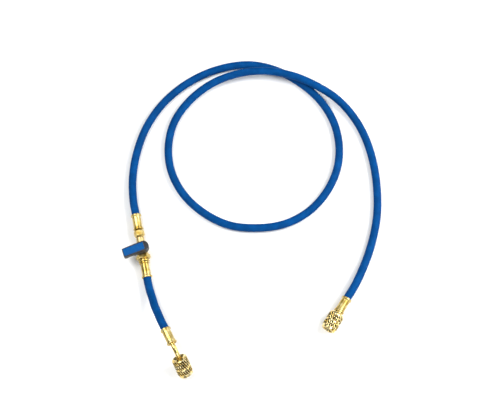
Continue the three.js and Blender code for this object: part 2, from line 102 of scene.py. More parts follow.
# Materials
def linear(hexColour):
    # sRGB to linear: the low end is a straight line, the rest a power of 2.4.
    shown = np.array([int(hexColour[k:k + 2], 16) / 255 for k in (1, 3, 5)])
    made = np.where(shown <= 0.04045, shown / 12.92, ((shown + 0.055) / 1.055) ** 2.4)
    return (*made.tolist(), 1.0)


def addNode(tree, kind, links=None, inputs=None, **settings):
    # One node with its settings, its input values and its links, each given by socket name.
    node = tree.nodes.new("ShaderNode" + kind)
    for key, value in settings.items():
        setattr(node, key, value)
    for socket, value in (inputs or {}).items():
        node.inputs[socket].default_value = value
    for socket, source in (links or {}).items():
        tree.links.new(source, node.inputs[socket])
    return node


def newMaterial(name, **shader):
    made = bpy.data.materials.new(name)
    made.use_nodes = True
    tree = made.node_tree
    tree.nodes.clear()
    surface = addNode(tree, "BsdfPrincipled", inputs=shader)
    output = addNode(tree, "OutputMaterial", {"Surface": surface.outputs["BSDF"]})
    output.target = "ALL"
    return made, tree, surface


def twoTone(tree, factor, dark, light):
    return addNode(
        tree, "Mix", {"Factor": factor}, data_type="RGBA",
        inputs={"A": linear(dark), "B": linear(light)},
    )


def ranged(tree, value, fromMin, fromMax, toMin, toMax):
    return addNode(tree, "MapRange", {"Value": value}, inputs={
        "From Min": fromMin, "From Max": fromMax, "To Min": toMin, "To Max": toMax,
    }).outputs["Result"]


def noiseOver(tree, vector, scale, detail, roughness):
    return addNode(tree, "TexNoise", {"Vector": vector}, inputs={
        "Scale": scale, "Detail": detail, "Roughness": roughness,
    }).outputs["Fac"]


def objectNoise(tree, sizeMm, detail, roughness):
    # Noise in the object's own coordinates, about sizeMm from one patch to the next.
    place = addNode(tree, "TexCoord")
    return noiseOver(tree, place.outputs["Object"], 1 / (sizeMm * mm), detail, roughness)


def stretched(tree, uv, scale):
    return addNode(tree, "Mapping", {"Vector": uv.outputs["UV"]}, inputs={"Scale": scale}).outputs["Vector"]


def dress(tree, surface, colour, shineFrom, rough, height, strength, bumpMm):
    # Gives a surface its colour, a roughness that follows shineFrom, and a bump bumpMm high.
    shine = ranged(tree, shineFrom, 0.3, 0.7, *rough)
    bump = addNode(tree, "Bump", {"Height": height}, inputs={"Strength": strength, "Distance": bumpMm * mm})
    tree.links.new(colour.outputs["Result"], surface.inputs["Base Color"])
    tree.links.new(shine, surface.inputs["Roughness"])
    tree.links.new(bump.outputs["Normal"], surface.inputs["Normal"])


def turnedBrass(name, look):
    # Free-cutting brass, turned on a lathe: fine rings round the piece, near-mirror between them,
    # with faint warmer clouds of tarnish, and painted shade darkening what is cut deep. The UV map is in
    # millimetres, across and along the cut.
    made, tree, surface = newMaterial(name, Metallic=1.0)
    rings = stretched(tree, addNode(tree, "UVMap"), (0.02, look["ringsPerMm"], 1))
    cut = noiseOver(tree, rings, 1.0, 3.0, 0.6)
    clouds = objectNoise(tree, look["cloudMm"], 4.0, 0.55)
    tone = twoTone(tree, ranged(tree, clouds, 0.35, 0.68, 0.0, 1.0), look["dark"], look["light"])
    # Painted shade: where a cut is deep (knurl and thread grooves), the colour is mixed towards the dark
    # groove colour in place of shade in the recesses.
    depth = addNode(tree, "Attribute", attribute_name="cutDepth")
    grooveShadeMask = ranged(tree, depth.outputs["Fac"], look["unshadedTo"], look["fullShadeFrom"], 0.0, look["grooveShadeShare"])
    withGrooveShade = addNode(tree, "Mix", {"Factor": grooveShadeMask}, data_type="RGBA", inputs={"B": linear(look["groove"])})
    tree.links.new(tone.outputs["Result"], withGrooveShade.inputs["A"])
    dress(tree, surface, withGrooveShade, clouds, look["rough"], cut, look["bump"], 0.05)
    return made


def forgedBrass(look):
    # Hot-forged brass, blasted and left: a fine pebbled skin, greyer and duller than a turned face.
    made, tree, surface = newMaterial("forged_brass_blasted", Metallic=1.0)
    grain = objectNoise(tree, look["grainMm"], 3.0, 0.6)
    tone = twoTone(tree, objectNoise(tree, look["cloudMm"], 3.0, 0.5), look["dark"], look["light"])
    dress(tree, surface, tone, grain, look["rough"], grain, look["bump"], 0.12)
    return made


def hoseRubber(look):
    # Extruded synthetic rubber cover over a braid: satin, with faint draw lines along the hose,
    # the braid's diamonds just showing through, and paler rubbed patches.
    made, tree, surface = newMaterial("hose_rubber_extruded", IOR=1.5)
    surface.inputs["Specular IOR Level"].default_value = look["gloss"]
    uv = addNode(tree, "UVMap")
    lines = noiseOver(tree, stretched(tree, uv, (look["linesPerMm"], 0.03, 1)), 1.0, 2.0, 0.5)
    # The braid's two sets of strands run round the hose both ways: UV turned by each strand angle.
    waves = []
    for side in (1, -1):
        turned = addNode(tree, "Mapping", {"Vector": uv.outputs["UV"]},
                         inputs={"Rotation": (0, 0, side * math.radians(look["braidDegrees"]))})
        waves.append(addNode(tree, "TexWave", {"Vector": turned.outputs["Vector"]},
                             wave_type="BANDS", bands_direction="X",
                             inputs={"Scale": look["braidScale"], "Distortion": 0.4, "Detail": 0.0}))
    strands = {0: waves[0].outputs["Fac"], 1: waves[1].outputs["Fac"]}
    braid = addNode(tree, "Math", strands, operation="MULTIPLY")
    height = addNode(tree, "Math", {0: braid.outputs["Value"], 2: lines},
                     operation="MULTIPLY_ADD", inputs={1: look["braidShare"]})
    rubbed = objectNoise(tree, look["rubbedMm"], 5.0, 0.6)
    tone = twoTone(tree, ranged(tree, rubbed, 0.42, 0.72, 0.0, 1.0), look["deep"], look["pale"])
    dress(tree, surface, tone, rubbed, look["rough"], height.outputs["Value"], look["bump"], 0.1)
    return made


def mouldedPlastic(name, look):
    # Injection-moulded nylon: the mould's spark-eroded grain, with slight flow clouds in its colour.
    made, tree, surface = newMaterial(name, IOR=1.5)
    surface.inputs["Specular IOR Level"].default_value = look["gloss"]
    grain = objectNoise(tree, look["grainMm"], 2.0, 0.5)
    tone = twoTone(tree, objectNoise(tree, look["flowMm"], 3.0, 0.55), look["dark"], look["light"])
    dress(tree, surface, tone, grain, look["rough"], grain, look["bump"], 0.08)
    return made


brassLook = {
    "dark": "#caa644",
    "light": "#eedc9c",
    # the groove colour is painted shade for deep cuts
    "groove": "#33240a",
    "grooveShadeShare": 0,  # share of the painted groove shade (the groove colour) where a cut is deep
    "unshadedTo": 0.22,  # millimetres of depth up to which a cut gets no painted shade
    "fullShadeFrom": 0.46,  # and from which it has its full share of painted shade
    "ringsPerMm": 5.0,
    "cloudMm": 6,
    "rough": (0.19, 0.3),
    "bump": 0.12,
}
brightBrass = turnedBrass("turned_brass_bright", brassLook)
knurledBrass = turnedBrass("knurled_brass", {
    **brassLook,
    "dark": "#d6b45a",
    "light": "#fbecb8",
    # nearly full painted shade in the knurl's deep cuts
    "grooveShadeShare": 0.98,
    "bump": 0.08,
})
satinBrass = turnedBrass("turned_brass_satin", {
    **brassLook,
    "dark": "#b5953f",
    "light": "#d6c58a",
    "rough": (0.3, 0.42),
})
bodyBrass = forgedBrass({
    "dark": "#b39a62",
    "light": "#d6c088",
    "grainMm": 0.5,
    "cloudMm": 5,
    "rough": (0.3, 0.46),
    "bump": 0.35,
})
blueRubber = hoseRubber({
    "deep": "#033c73",
    "pale": "#064886",
    "rough": (0.45, 0.6),
    "gloss": 0.03,
    "linesPerMm": 1.6,
    "braidDegrees": 54,
    "braidScale": 0.14,
    "braidShare": 0.6,
    "rubbedMm": 14,
    "bump": 0.22,
})
blackNylon = mouldedPlastic("moulded_nylon_black", {
    "dark": "#17181c",
    "light": "#25272d",
    "grainMm": 0.35,
    "flowMm": 6,
    "rough": (0.38, 0.5),
    "gloss": 0.35,
    "bump": 0.3,
})
blueNylon = mouldedPlastic("moulded_nylon_blue", {
    "dark": "#043a86",
    "light": "#0b5c92",
    "grainMm": 0.5,
    "flowMm": 3,
    "rough": (0.36, 0.46),
    "gloss": 0.03,
    "bump": 0.12,
})
sealRubber = mouldedPlastic("seal_neoprene_matt", {
    "dark": "#141414",
    "light": "#202020",
    "grainMm": 0.3,
    "flowMm": 3,
    "rough": (0.6, 0.75),
    "gloss": 0.3,
    "bump": 0.3,
})
print("materials made")


# Surfaces on a grid of rows and columns
def softened(corners, radius, closed):
    # Each corner becomes a short parabola that leaves its two edges at most radius from the corner,
    # and never more than edgeShare of the way along an edge.
    edgeShare, points = 0.45, 5
    corner = np.array(corners, float)
    back = np.roll(corner, 1, 0) - corner
    ahead = np.roll(corner, -1, 0) - corner
    backLength = np.linalg.norm(back, axis=1)[:, None]
    aheadLength = np.linalg.norm(ahead, axis=1)[:, None]
    start = corner + back * np.minimum(radius / backLength, edgeShare)
    end = corner + ahead * np.minimum(radius / aheadLength, edgeShare)
    t = np.linspace(0, 1, points)[None, :, None]
    arcs = (1 - t) ** 2 * start[:, None] + 2 * t * (1 - t) * corner[:, None] + t ** 2 * end[:, None]
    if closed:
        return arcs.reshape(-1, 2)
    return np.vstack([corner[:1], arcs[1:-1].reshape(-1, 2), corner[-1:]])


def refined(profile, closed, step, fineStep, fine):
    # Points at every step along the profile, and at every fineStep where fine(x, r) holds.
    closest = 0.01
    line = np.vstack([profile, profile[:1]]) if closed else profile
    length = np.append(0, np.cumsum(np.linalg.norm(np.diff(line, axis=0), axis=1)))
    at = [length, np.arange(0, length[-1], step)]
    if fine is not None:
        close = np.arange(0, length[-1], fineStep)
        wanted = fine(np.interp(close, length, line[:, 0]), np.interp(close, length, line[:, 1]))
        at.append(close[wanted])
    at = np.unique(np.concatenate(at))
    at = at[np.append(np.diff(at) > closest, True)]
    at[0] = 0
    made = np.column_stack([np.interp(at, length, line[:, k]) for k in (0, 1)])
    return (made[:-1] if closed else made), at


def turnedGrid(place, corners, sides=96, rounding=0.2, step=1.0, fineStep=0.3, fine=None, relief=None):
    # A profile of (x, r) carried round the X axis: y = r cos(angle), z = r sin(angle).
    # relief(x, r, angle) gives the radius back with its knurl, thread or flats cut in.
    closed = corners[0][1] > 0
    rows, along = refined(softened(corners, rounding, closed), closed, step, fineStep, fine)
    x, r = rows[:, :1], rows[:, 1:]
    angle = tau * np.arange(sides)[None, :] / sides
    radius = r + 0 * angle if relief is None else relief(x, r, angle)
    local = np.stack([x + 0 * radius, radius * np.cos(angle), radius * np.sin(angle)], -1)
    around = tau * rows[:, 1].max() * np.arange(sides + 1) / sides
    return {"points": atPlace(place, local), "closed": closed, "along": along, "around": around,
            "cut": np.abs(r - radius)}


def sweptGrid(place, line, radius, sides, bore=None):
    # A round section square to the line at each of its points: point = line + r (cos a side + sin a top),
    # where side is level. With a bore, the same line is followed back at the bore's radius.
    ahead = np.gradient(line, axis=0)
    ahead /= np.linalg.norm(ahead, axis=1)[:, None]
    side = np.cross(ahead, (0, 0, 1))
    side /= np.linalg.norm(side, axis=1)[:, None]
    top = np.cross(side, ahead)
    length = np.append(0, np.cumsum(np.linalg.norm(np.diff(line, axis=0), axis=1)))
    angle = tau * np.arange(sides)[None, :, None] / sides

    def ring(pick, r):
        return line[pick, None] + r * (np.cos(angle) * side[pick, None] + np.sin(angle) * top[pick, None])

    out = np.arange(len(line))
    if bore is None:
        ends = [line[:1, None].repeat(sides, 1), line[-1:, None].repeat(sides, 1)]
        points = np.concatenate([ends[0], ring(out, radius), ends[1]])
        along = np.concatenate([[-radius], length, [length[-1] + radius]])
    else:
        points = np.concatenate([ring(out, radius), ring(out[::-1], bore)])
        along = np.concatenate([length, 2 * length[-1] - length[::-1], [2 * length[-1]]])
    return {"points": atPlace(place, points), "closed": bore is not None, "along": along,
            "around": tau * radius * np.arange(sides + 1) / sides, "cut": np.zeros(points.shape[:2])}


def loftGrid(place, sections, x):
    # Closed sections of (y, z) points, one for each x, with a flat end over the first and the last.
    points = np.concatenate([x[:, None, None] + 0 * sections[..., :1], sections], -1)
    points = np.concatenate([points[:1].mean(1, keepdims=True) + 0 * points[:1], points,
                             points[-1:].mean(1, keepdims=True) + 0 * points[-1:]])
    middle = points.mean(1)
    along = np.append(0, np.cumsum(np.linalg.norm(np.diff(middle, axis=0), axis=1)))
    around = np.linspace(0, 40, points.shape[1] + 1)
    return {"points": atPlace(place, points), "closed": False, "along": along, "around": around,
            "cut": np.zeros(points.shape[:2])}


def makePiece(name, grids, material, body, sharpDegrees=38):
    # Joins the grids into one mesh of quads. A grid whose enclosed volume comes out negative is reversed.
    points, quads, maps, cuts = [], [], [], []
    offset = 0
    for grid in grids:
        rows, columns = grid["points"].shape[:2]
        flat = grid["points"].reshape(-1, 3)
        i = np.arange(rows if grid["closed"] else rows - 1)[:, None]
        j = np.arange(columns)[None, :]
        iNext, jNext = (i + 1) % rows, (j + 1) % columns
        face = np.stack([
            i * columns + j, i * columns + jNext, iNext * columns + jNext, iNext * columns + j,
        ], -1).reshape(-1, 4)
        u, v = grid["around"], grid["along"]
        across = np.stack([u[j], u[j + 1], u[j + 1], u[j]], -1) + 0 * i[..., None]
        down = np.stack([v[i], v[i], v[i + 1], v[i + 1]], -1) + 0 * j[..., None]
        uv = np.stack([across, down], -1).reshape(-1, 4, 2)
        a, b, c, d = (flat[face[:, k]] for k in range(4))
        volume = np.sum(a * np.cross(b, c)) + np.sum(a * np.cross(c, d))
        if volume < 0:
            face, uv = face[:, ::-1], uv[:, ::-1]
        points.append(flat)
        quads.append(face + offset)
        maps.append(uv)
        cuts.append(grid["cut"].reshape(-1))
        offset += len(flat)
    mesh = bpy.data.meshes.new(name)
    mesh.from_pydata(np.concatenate(points) * mm, [], np.concatenate(quads).tolist())
    layer = mesh.uv_layers.new(name="mm")
    layer.data.foreach_set("uv", np.concatenate(maps).astype(np.float32).ravel())
    depth = mesh.attributes.new("cutDepth", "FLOAT", "POINT")
    depth.data.foreach_set("value", np.concatenate(cuts).astype(np.float32))
    return finishPiece(name, mesh, material, body, sharpDegrees)


def finishPiece(name, mesh, material, body, sharpDegrees):
    # Points that coincide are merged, such as the rows that close an end on the axis.
    together, degenerate = 0.002 * mm, 0.0005 * mm
    work = bmesh.new()
    work.from_mesh(mesh)
    bmesh.ops.remove_doubles(work, verts=work.verts, dist=together)
    bmesh.ops.dissolve_degenerate(work, edges=work.edges, dist=degenerate)
    work.to_mesh(mesh)
    work.free()
    mesh.polygons.foreach_set("use_smooth", np.ones(len(mesh.polygons), bool))
    mesh.set_sharp_from_angle(angle=math.radians(sharpDegrees))
    mesh.materials.append(material)
    made = bpy.data.objects.new(name, mesh)
    bpy.context.scene.collection.objects.link(made)
    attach(made, body)
    return made


def onAxis(place, x):
    return atPlace(place, np.array([x, 0.0, 0.0]))


def routeLine(points, spacing):
    # A smooth curve through the points: each stretch is a cubic whose end slopes come from its
    # neighbours, weighted by the square root of their distances, and it is then spaced evenly.
    p = np.array(points, float)
    p = np.vstack([2 * p[0] - p[1], p, 2 * p[-1] - p[-2]])
    d = np.sqrt(np.linalg.norm(np.diff(p, axis=0), axis=1))[:, None]
    p0, p1, p2, p3 = p[:-3], p[1:-2], p[2:-1], p[3:]
    d0, d1, d2 = d[:-2], d[1:-1], d[2:]
    slope1 = ((p1 - p0) / d0 - (p2 - p0) / (d0 + d1) + (p2 - p1) / d1) * d1
    slope2 = ((p2 - p1) / d1 - (p3 - p1) / (d1 + d2) + (p3 - p2) / d2) * d1
    steps = 60
    t = np.linspace(0, 1, steps, endpoint=False)[None, :, None]
    cubic = ((2 * t ** 3 - 3 * t ** 2 + 1) * p1[:, None] + (t ** 3 - 2 * t ** 2 + t) * slope1[:, None]
             + (3 * t ** 2 - 2 * t ** 3) * p2[:, None] + (t ** 3 - t ** 2) * slope2[:, None])
    line = np.vstack([cubic.reshape(-1, 3), p[-2]])
    length = np.append(0, np.cumsum(np.linalg.norm(np.diff(line, axis=0), axis=1)))
    even = np.linspace(0, length[-1], round(length[-1] / spacing) + 1)
    return np.column_stack([np.interp(even, length, line[:, k]) for k in range(3)])


# The hoses
hose = {"diameter": 11, "sides": 40, "spacing": 3, "straightOut": 22, "whipStraightOut": 6, "floor": 5.55}
mainRoute = [
    (-146, 171), (-141.5, 208), (-128, 250), (-102, 290), (-63, 323), (-20, 342), (22, 347), (60, 337),
    (94, 316), (120, 290), (138, 258), (145.5, 223), (142.5, 186), (127, 150), (101, 120), (66, 101),
    (27, 95.5), (-11, 100), (-46, 118), (-74, 145), (-92, 180), (-97, 218), (-89, 257),
    (-66, 291, 7), (-33, 316, 11), (7, 329, 15.5), (46, 331, 17.2), (84, 322.5, 17.4), (116, 308, 15),
    (143, 291, 10.5), (165, 267, 6.8), (182, 235), (192.5, 197), (197, 156), (195.5, 114), (188, 78),
    (177, 46, 6.4),
]
whipRoute = [
    (-116.3, 4.2, 9.6), (-112.6, -6.4, 12.2), (-108.3, -19.7, 18.1), (-103.9, -29.9, 23.2),
    (-99.7, -39.5, 26.5),
]


def makeHose(name, start, startOut, route, endOut, end):
    lying = [(*point, hose["floor"])[:3] for point in route]
    line = routeLine([start, startOut, *lying, endOut, end], hose["spacing"])
    grid = sweptGrid(np.eye(4), line, hose["diameter"] / 2, hose["sides"])
    made = makePiece(name + "_cover", [grid], blueRubber, "hose")
    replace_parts(made, name)
    return made


makeHose(
    "main_hose",
    onAxis(layout["valve"], layout["inletHoseEnd"] + layout["seat"]),
    onAxis(layout["valve"], layout["inletHoseEnd"] - hose["straightOut"]),
    mainRoute,
    onAxis(layout["straight"], -hose["straightOut"]),
    onAxis(layout["straight"], layout["seat"]),
)
makeHose(
    "whip_hose",
    onAxis(layout["valve"], layout["outletHoseEnd"] - layout["seat"]),
    onAxis(layout["valve"], layout["outletHoseEnd"] + hose["whipStraightOut"]),
    whipRoute,
    onAxis(layout["elbow"], -hose["whipStraightOut"]),
    onAxis(layout["elbow"], layout["seat"]),
)
print("hoses laid")


def replacePiece(node, grids, material, body, sharpDegrees=38):
    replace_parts(makePiece(node + "_look", grids, material, body, sharpDegrees), node)


def softMin(a, b, blend):
    # The smaller of two values, with the change from one to the other rounded over blend.
    return -blend * np.log(np.exp(-a / blend) + np.exp(-b / blend))


def flatSided(flats, sides, turn=0.0):
    # Radius of a bar with that many flats, at each angle: half the flats over the cosine of the fold.
    def radius(angle):
        fold = (angle - turn + math.pi / sides) % (tau / sides) - math.pi / sides
        return flats / 2 / np.cos(fold)
    return radius


# Ferrules: turned shells crimped on in eight flats
ferrule = {
    "bore": 5,  # radius inside which nothing is crimped
    "flats": 8,
    "crimpFlats": 11.72,
    "crimpTurn": 0.2,
    "crimpFrom": 4.6,
    "crimpTo": 18.4,
    "runOut": 0.8,
}


def crimped(x, r, angle):
    flats = flatSided(ferrule["crimpFlats"], ferrule["flats"], ferrule["crimpTurn"])(angle)
    inside = (np.clip((x - ferrule["crimpFrom"]) / ferrule["runOut"], 0, 1)
              * np.clip((ferrule["crimpTo"] - x) / ferrule["runOut"], 0, 1))
    share = inside * inside * (3 - 2 * inside) * (r > ferrule["bore"])
    return r + share * (softMin(r + 0 * angle, flats, 0.05) - r)


def makeFerrule(node, place):
    corners = [
        (1.2, 0), (1.2, 5.62), (0, 5.62), (0, 6.7), (0.5, 7.1), (2.4, 7.1), (3.4, 6.0), (19.7, 6.0),
        (19.8, 5.4), (20.3, 5.4), (20.4, 6.7), (20.7, 6.9), (22.1, 6.9), (22.5, 6.3), (22.5, 0),
    ]
    grid = turnedGrid(place, corners, sides=96, rounding=0.22, relief=crimped, step=0.8)
    replacePiece(node, [grid], satinBrass, "hose")


about = pose(heading=180)
makeFerrule("valve_inlet_ferrule", layout["valve"] @ pose(layout["inletHoseEnd"]))
makeFerrule("valve_outlet_ferrule", layout["valve"] @ pose(layout["outletHoseEnd"]) @ about)
makeFerrule("straight_ferrule", layout["straight"])
makeFerrule("elbow_ferrule", layout["elbow"])
print("ferrules turned and crimped")


# Nuts: two knurled bands with a smooth groove between, a smooth mouth and a threaded socket
nut = {
    "knurlRadius": 10.5,
    "threadRadius": 6.1,
    "ridges": 21,  # ridges round the nut, 3.1 mm apart
    "ridgeDepth": 0.9,
    "ridgeDegrees": 20,  # lean of the knurl's lines to the axis
    "threadPitch": 1.27,
    "threadDepth": 0.55,
    "socketFrom": 13.2,
    "sides": 294,
}


def triangle(turns):
    # Nought at whole turns and one half-way between them.
    share = turns % 1
    return 2 * np.minimum(share, 1 - share)


def nutRelief(x, r, angle):
    # Knurl: deep V grooves that lean one way, crossed by shallower ones that lean the other way.
    # Thread: a V groove outwards from the socket's wall that goes once round in each pitch.
    lean = math.tan(math.radians(nut["ridgeDegrees"])) * nut["ridges"] / (tau * nut["knurlRadius"])
    count = nut["ridges"] * angle / tau
    crest = np.minimum(1.7 * triangle(count + lean * x) - 0.35, 0.4 + 1.2 * triangle(count - lean * x))
    crest = np.clip(crest, 0, 1)
    knurled = np.clip((r - nut["knurlRadius"] + 0.35) / 0.3, 0, 1)
    groove = 1 - triangle(x / nut["threadPitch"] - angle / tau)
    threaded = np.clip((nut["threadRadius"] + 0.25 - r) / 0.1, 0, 1) * np.clip((r - 5.6) / 0.1, 0, 1)
    threaded = threaded * np.clip((x - nut["socketFrom"]) / 0.6, 0, 1)
    return r - knurled * nut["ridgeDepth"] * (1 - crest) + threaded * nut["threadDepth"] * (1 - groove)


def fineOnNut(x, r):
    return ((r > nut["knurlRadius"] - 0.5) & (x < 22)) | ((r > 5.9) & (r < 6.3) & (x > nut["socketFrom"]))


nutFront = [
    (12.4, 10.5), (12.9, 9.8), (14.7, 9.8), (15.2, 10.5), (21.7, 10.5), (22.5, 9.5), (25.7, 9.5),
    (26.5, 8.7), (26.5, 6.8), (25.8, 6.1), (12.5, 6.1), (12.5, 4.3),
]
nutBack = {
    "dome": [(0, 4.3), (0, 7.5), (0.29, 8.43), (1.15, 9.26), (2.47, 9.93), (4.15, 10.35), (6, 10.5)],
    "dish": [(3.0, 4.3), (2.4, 5.9), (0.5, 8.2), (0, 8.7), (0, 9.5), (1.0, 10.5)],
}


def makeNut(node, place, back, body):
    grid = turnedGrid(place, nutBack[back] + nutFront, sides=nut["sides"], rounding=0.25, step=0.9,
                      fineStep=0.3, fine=fineOnNut, relief=nutRelief)
    replacePiece(node, [grid], knurledBrass, body, sharpDegrees=50)


gap = layout["gap"]
bend = {
    "radius": 18,
    "degrees": 45,
    "before": 3,
    "after": 4.7,
    "tube": 3,
    "bore": 1.6,
    "from": 16.5,  # the tube's start, inside the ferrule
    "intoFlange": 2.3,
}
stemCollar = 1.6  # thickness of the ring between the straight ferrule and its nut
bendAt = layout["ferruleLength"] + gap + bend["before"]
turnedBy = math.radians(bend["degrees"])
nosePlace = layout["elbow"] @ pose(
    bendAt + bend["radius"] * math.sin(turnedBy) + bend["after"] * math.cos(turnedBy),
    0,
    -bend["radius"] * (1 - math.cos(turnedBy)) - bend["after"] * math.sin(turnedBy),
    pitch=-bend["degrees"],
)
straightNutPlace = layout["straight"] @ pose(layout["ferruleLength"] + gap + stemCollar + gap)
makeNut("straight_nut", straightNutPlace, "dome", "straight_swivel")
makeNut("elbow_nut", nosePlace, "dish", "bent_swivel")
print("nuts knurled")

# Inside the nuts: the flange that each nut pulls on, its gasket and the core depressor
flange = {"start": 12.8, "end": 15.3, "radius": 5.7, "gasketEnd": 17.2, "gasketBore": 2.2}
stemStart = layout["ferruleLength"] + gap
nutBackX = stemCollar + gap
straightStem = [
    (-6, 1.6), (-6, 3), (0, 3), (0, 6.2), (stemCollar, 6.2), (stemCollar, 3.9),
    (nutBackX + flange["start"], 3.9),
    (nutBackX + flange["start"], flange["radius"]), (nutBackX + flange["end"], flange["radius"]),
    (nutBackX + flange["end"], 1.6),
]
replacePiece("straight_stem", [turnedGrid(layout["straight"] @ pose(stemStart), straightStem)],
             brightBrass, "hose")
gasketRing = [
    (flange["end"] + gap, flange["gasketBore"]), (flange["end"] + gap, flange["radius"]),
    (flange["gasketEnd"], flange["radius"]), (flange["gasketEnd"], flange["gasketBore"]),
]
replacePiece("straight_gasket", [turnedGrid(straightNutPlace, gasketRing)], sealRubber, "hose")
replacePiece("elbow_gasket", [turnedGrid(nosePlace, gasketRing)], sealRubber, "hose")
pin = {"length": 7, "radius": 1.2, "tipRadius": 0.8, "chamfer": 0.4, "pastGasket": 0.8}
tip = flange["gasketEnd"] + pin["pastGasket"]
depressor = [
    (tip - pin["length"], 0), (tip - pin["length"], pin["radius"]),
    (tip - pin["chamfer"], pin["radius"]), (tip, pin["tipRadius"]), (tip, 0),
]
replacePiece("core_depressor", [turnedGrid(nosePlace, depressor, sides=32)],
             brightBrass, "hose")


def bentLine(start, after):
    # Straight along X to the bend, round it downwards, and straight on.
    before = np.linspace(start, bendAt, 12, endpoint=False)
    angle = np.linspace(0, turnedBy, 30)
    beyond = np.linspace(0, after, 14)[1:]
    x = np.concatenate([before, bendAt + bend["radius"] * np.sin(angle),
                        bendAt + bend["radius"] * math.sin(turnedBy) + beyond * math.cos(turnedBy)])
    z = np.concatenate([0 * before, -bend["radius"] * (1 - np.cos(angle)),
                        -bend["radius"] * (1 - math.cos(turnedBy)) - beyond * math.sin(turnedBy)])
    return np.column_stack([x, 0 * x, z])


elbowCollar = [(22.8, 2.6), (22.8, 4.2), (23.8, 4.2), (23.8, 3.4), (24.4, 2.9), (24.4, 2.6)]
elbowFlange = [
    (flange["start"], 2.6), (flange["start"], flange["radius"]),
    (flange["end"], flange["radius"]), (flange["end"], 1.6), (flange["end"] - 0.3, 1.6),
]
tubeLine = bentLine(bend["from"], bend["after"] + flange["start"] + bend["intoFlange"])
replacePiece("elbow_tube", [
    sweptGrid(layout["elbow"], tubeLine, bend["tube"], 48, bend["bore"]),
    turnedGrid(layout["elbow"], elbowCollar),
    turnedGrid(nosePlace, elbowFlange),
], brightBrass, "hose")
print("bent tube and seals made")

# Valve: inlet union, forged body, outlet fitting
union = {"flats": 12.4, "profile": [
    (-37.8, 0), (-37.8, 3), (-31.5, 3), (-31.5, 5.3), (-29.3, 7.0), (-27.5, 7.7), (-24.5, 7.7),
    (-22.7, 6.8), (-20.5, 4.75), (-20.5, 3), (-14.5, 3), (-14.5, 0),
]}
outlet = {"flats": 17, "profile": [
    (-0.5, 0), (-0.5, 3), (5.5, 3), (5.5, 8.5), (6.5, 9.8), (10.5, 9.8), (11.5, 8.5), (11.5, 5.8),
    (12.9, 5.8), (13.4, 7.5), (15.0, 7.5), (15.5, 6.9), (15.5, 3), (21.8, 3), (21.8, 0),
]}


def makeHexagon(node, fitting):
    # A turned bar with six flats, one of them on top.
    flats = flatSided(fitting["flats"], 6, math.pi / 2)

    def relief(x, r, angle):
        return softMin(r + 0 * angle, flats(angle), 0.06)

    grid = turnedGrid(layout["valve"], fitting["profile"], sides=120, step=0.5, relief=relief)
    replacePiece(node, [grid], satinBrass, "hose")


makeHexagon("valve_inlet_union", union)
makeHexagon("valve_outlet_fitting", outlet)

forging = {
    "x": (-20.2, -12.6, -11.6, -9.2, -6.6, -5.2, 4.6, 5.2),
    "halfWidth": (5.6, 5.6, 5.7, 6.1, 6.8, 7.0, 7.0, 6.6),
    "halfHeight": (5.6, 5.6, 5.8, 6.3, 7.0, 7.2, 7.2, 6.8),
    "squareness": (2, 2, 2.6, 3.6, 4.4, 4.6, 4.6, 4.6),
    "partingLine": 0.16,
    "partingHalfWidth": 0.28,
    "partingFrom": -13,
    "endEase": 0.3,
    "stations": 70,
    "sides": 128,
}


def forgedGrid():
    # Section radius = 1 / ((|cos|/w)^n + (|sin|/h)^n)^(1/n), round at the neck and squarer at the
    # body, with a thin raised parting line where the two dies met.
    back, front = forging["x"][0], forging["x"][-1]
    x = np.sort(np.append(np.linspace(back, front, forging["stations"]), [back + 0.2, front - 0.2]))
    width, height, n = (np.interp(x, forging["x"], forging[key])[:, None]
                        for key in ("halfWidth", "halfHeight", "squareness"))
    ends = np.minimum(x - back, front - x)
    shrink = 1 - 0.05 * np.clip(1 - ends / forging["endEase"], 0, 1)[:, None] ** 2
    angle = tau * np.arange(forging["sides"])[None, :] / forging["sides"]
    across, up = np.abs(np.cos(angle)) / width, np.abs(np.sin(angle)) / height
    radius = shrink / (across ** n + up ** n) ** (1 / n)
    level = radius * np.sin(angle) / forging["partingHalfWidth"]
    onBody = np.clip((x[:, None] - forging["partingFrom"]) / 2, 0, 1)
    radius = radius + forging["partingLine"] * np.exp(-level ** 2) * onBody
    section = np.stack([radius * np.cos(angle), radius * np.sin(angle)], -1)
    return loftGrid(layout["valve"], section, x)


boss = [
    (3, 0), (3, 4.6), (6.9, 4.6), (6.9, 5.6), (7.5, 4.9), (9.5, 4.7), (9.8, 4.4), (9.8, 3.5),
    (8.2, 3.5), (8.2, 0),
]
replacePiece("valve_body", [
    forgedGrid(),
    turnedGrid(layout["valve"] @ pose(pitch=90), boss, rounding=0.3),
], bodyBrass, "hose")
print("valve made")

# Lever: a moulded handle with a flat blue plate let into its sloping top
lever = layout["valve"] @ pose(z=layout["hubBase"], heading=-82)
handle = {
    "half": 6.7,
    "tipHalf": 6.3,
    "back": -10.6,
    "tip": 26.0,
    "tipRound": 1.6,
    "narrowsFrom": 7.5,
    "cornerRadius": 0.7,
    "plateFrom": -3.8,
    "plateTo": 24.7,
    "plateHalf": 5.0,
    "plateDepth": 1.2,
    "topX": (-10.6, -10.0, -8.0, -7.3, -5.1, 26.0),
    "topZ": (10.9, 11.6, 13.6, 14.0, 14.5, 10.2),
    "bottomX": (-10.6, 7.5, 8.1, 9.9, 9.95, 12.05, 12.1, 12.7, 19.05, 22.0, 24.8, 26.0),
    "bottomZ": (0, 0, 3, 3, 1.2, 1.2, 3.2, 3.4, 3.2, 1.0, 1.3, 2.6),
}


def cornerArc(y, z, radius, fromDegrees):
    # A quarter circle round (y, z), in five points, for every station at once.
    angle = np.radians(fromDegrees + np.linspace(0, 90, 5))[None, :]
    reach = radius[:, None]
    return np.stack([y[:, None] + reach * np.cos(angle), z[:, None] + reach * np.sin(angle)], -1)


def pairs(y, z):
    return np.stack([y, z], -1)[:, None]


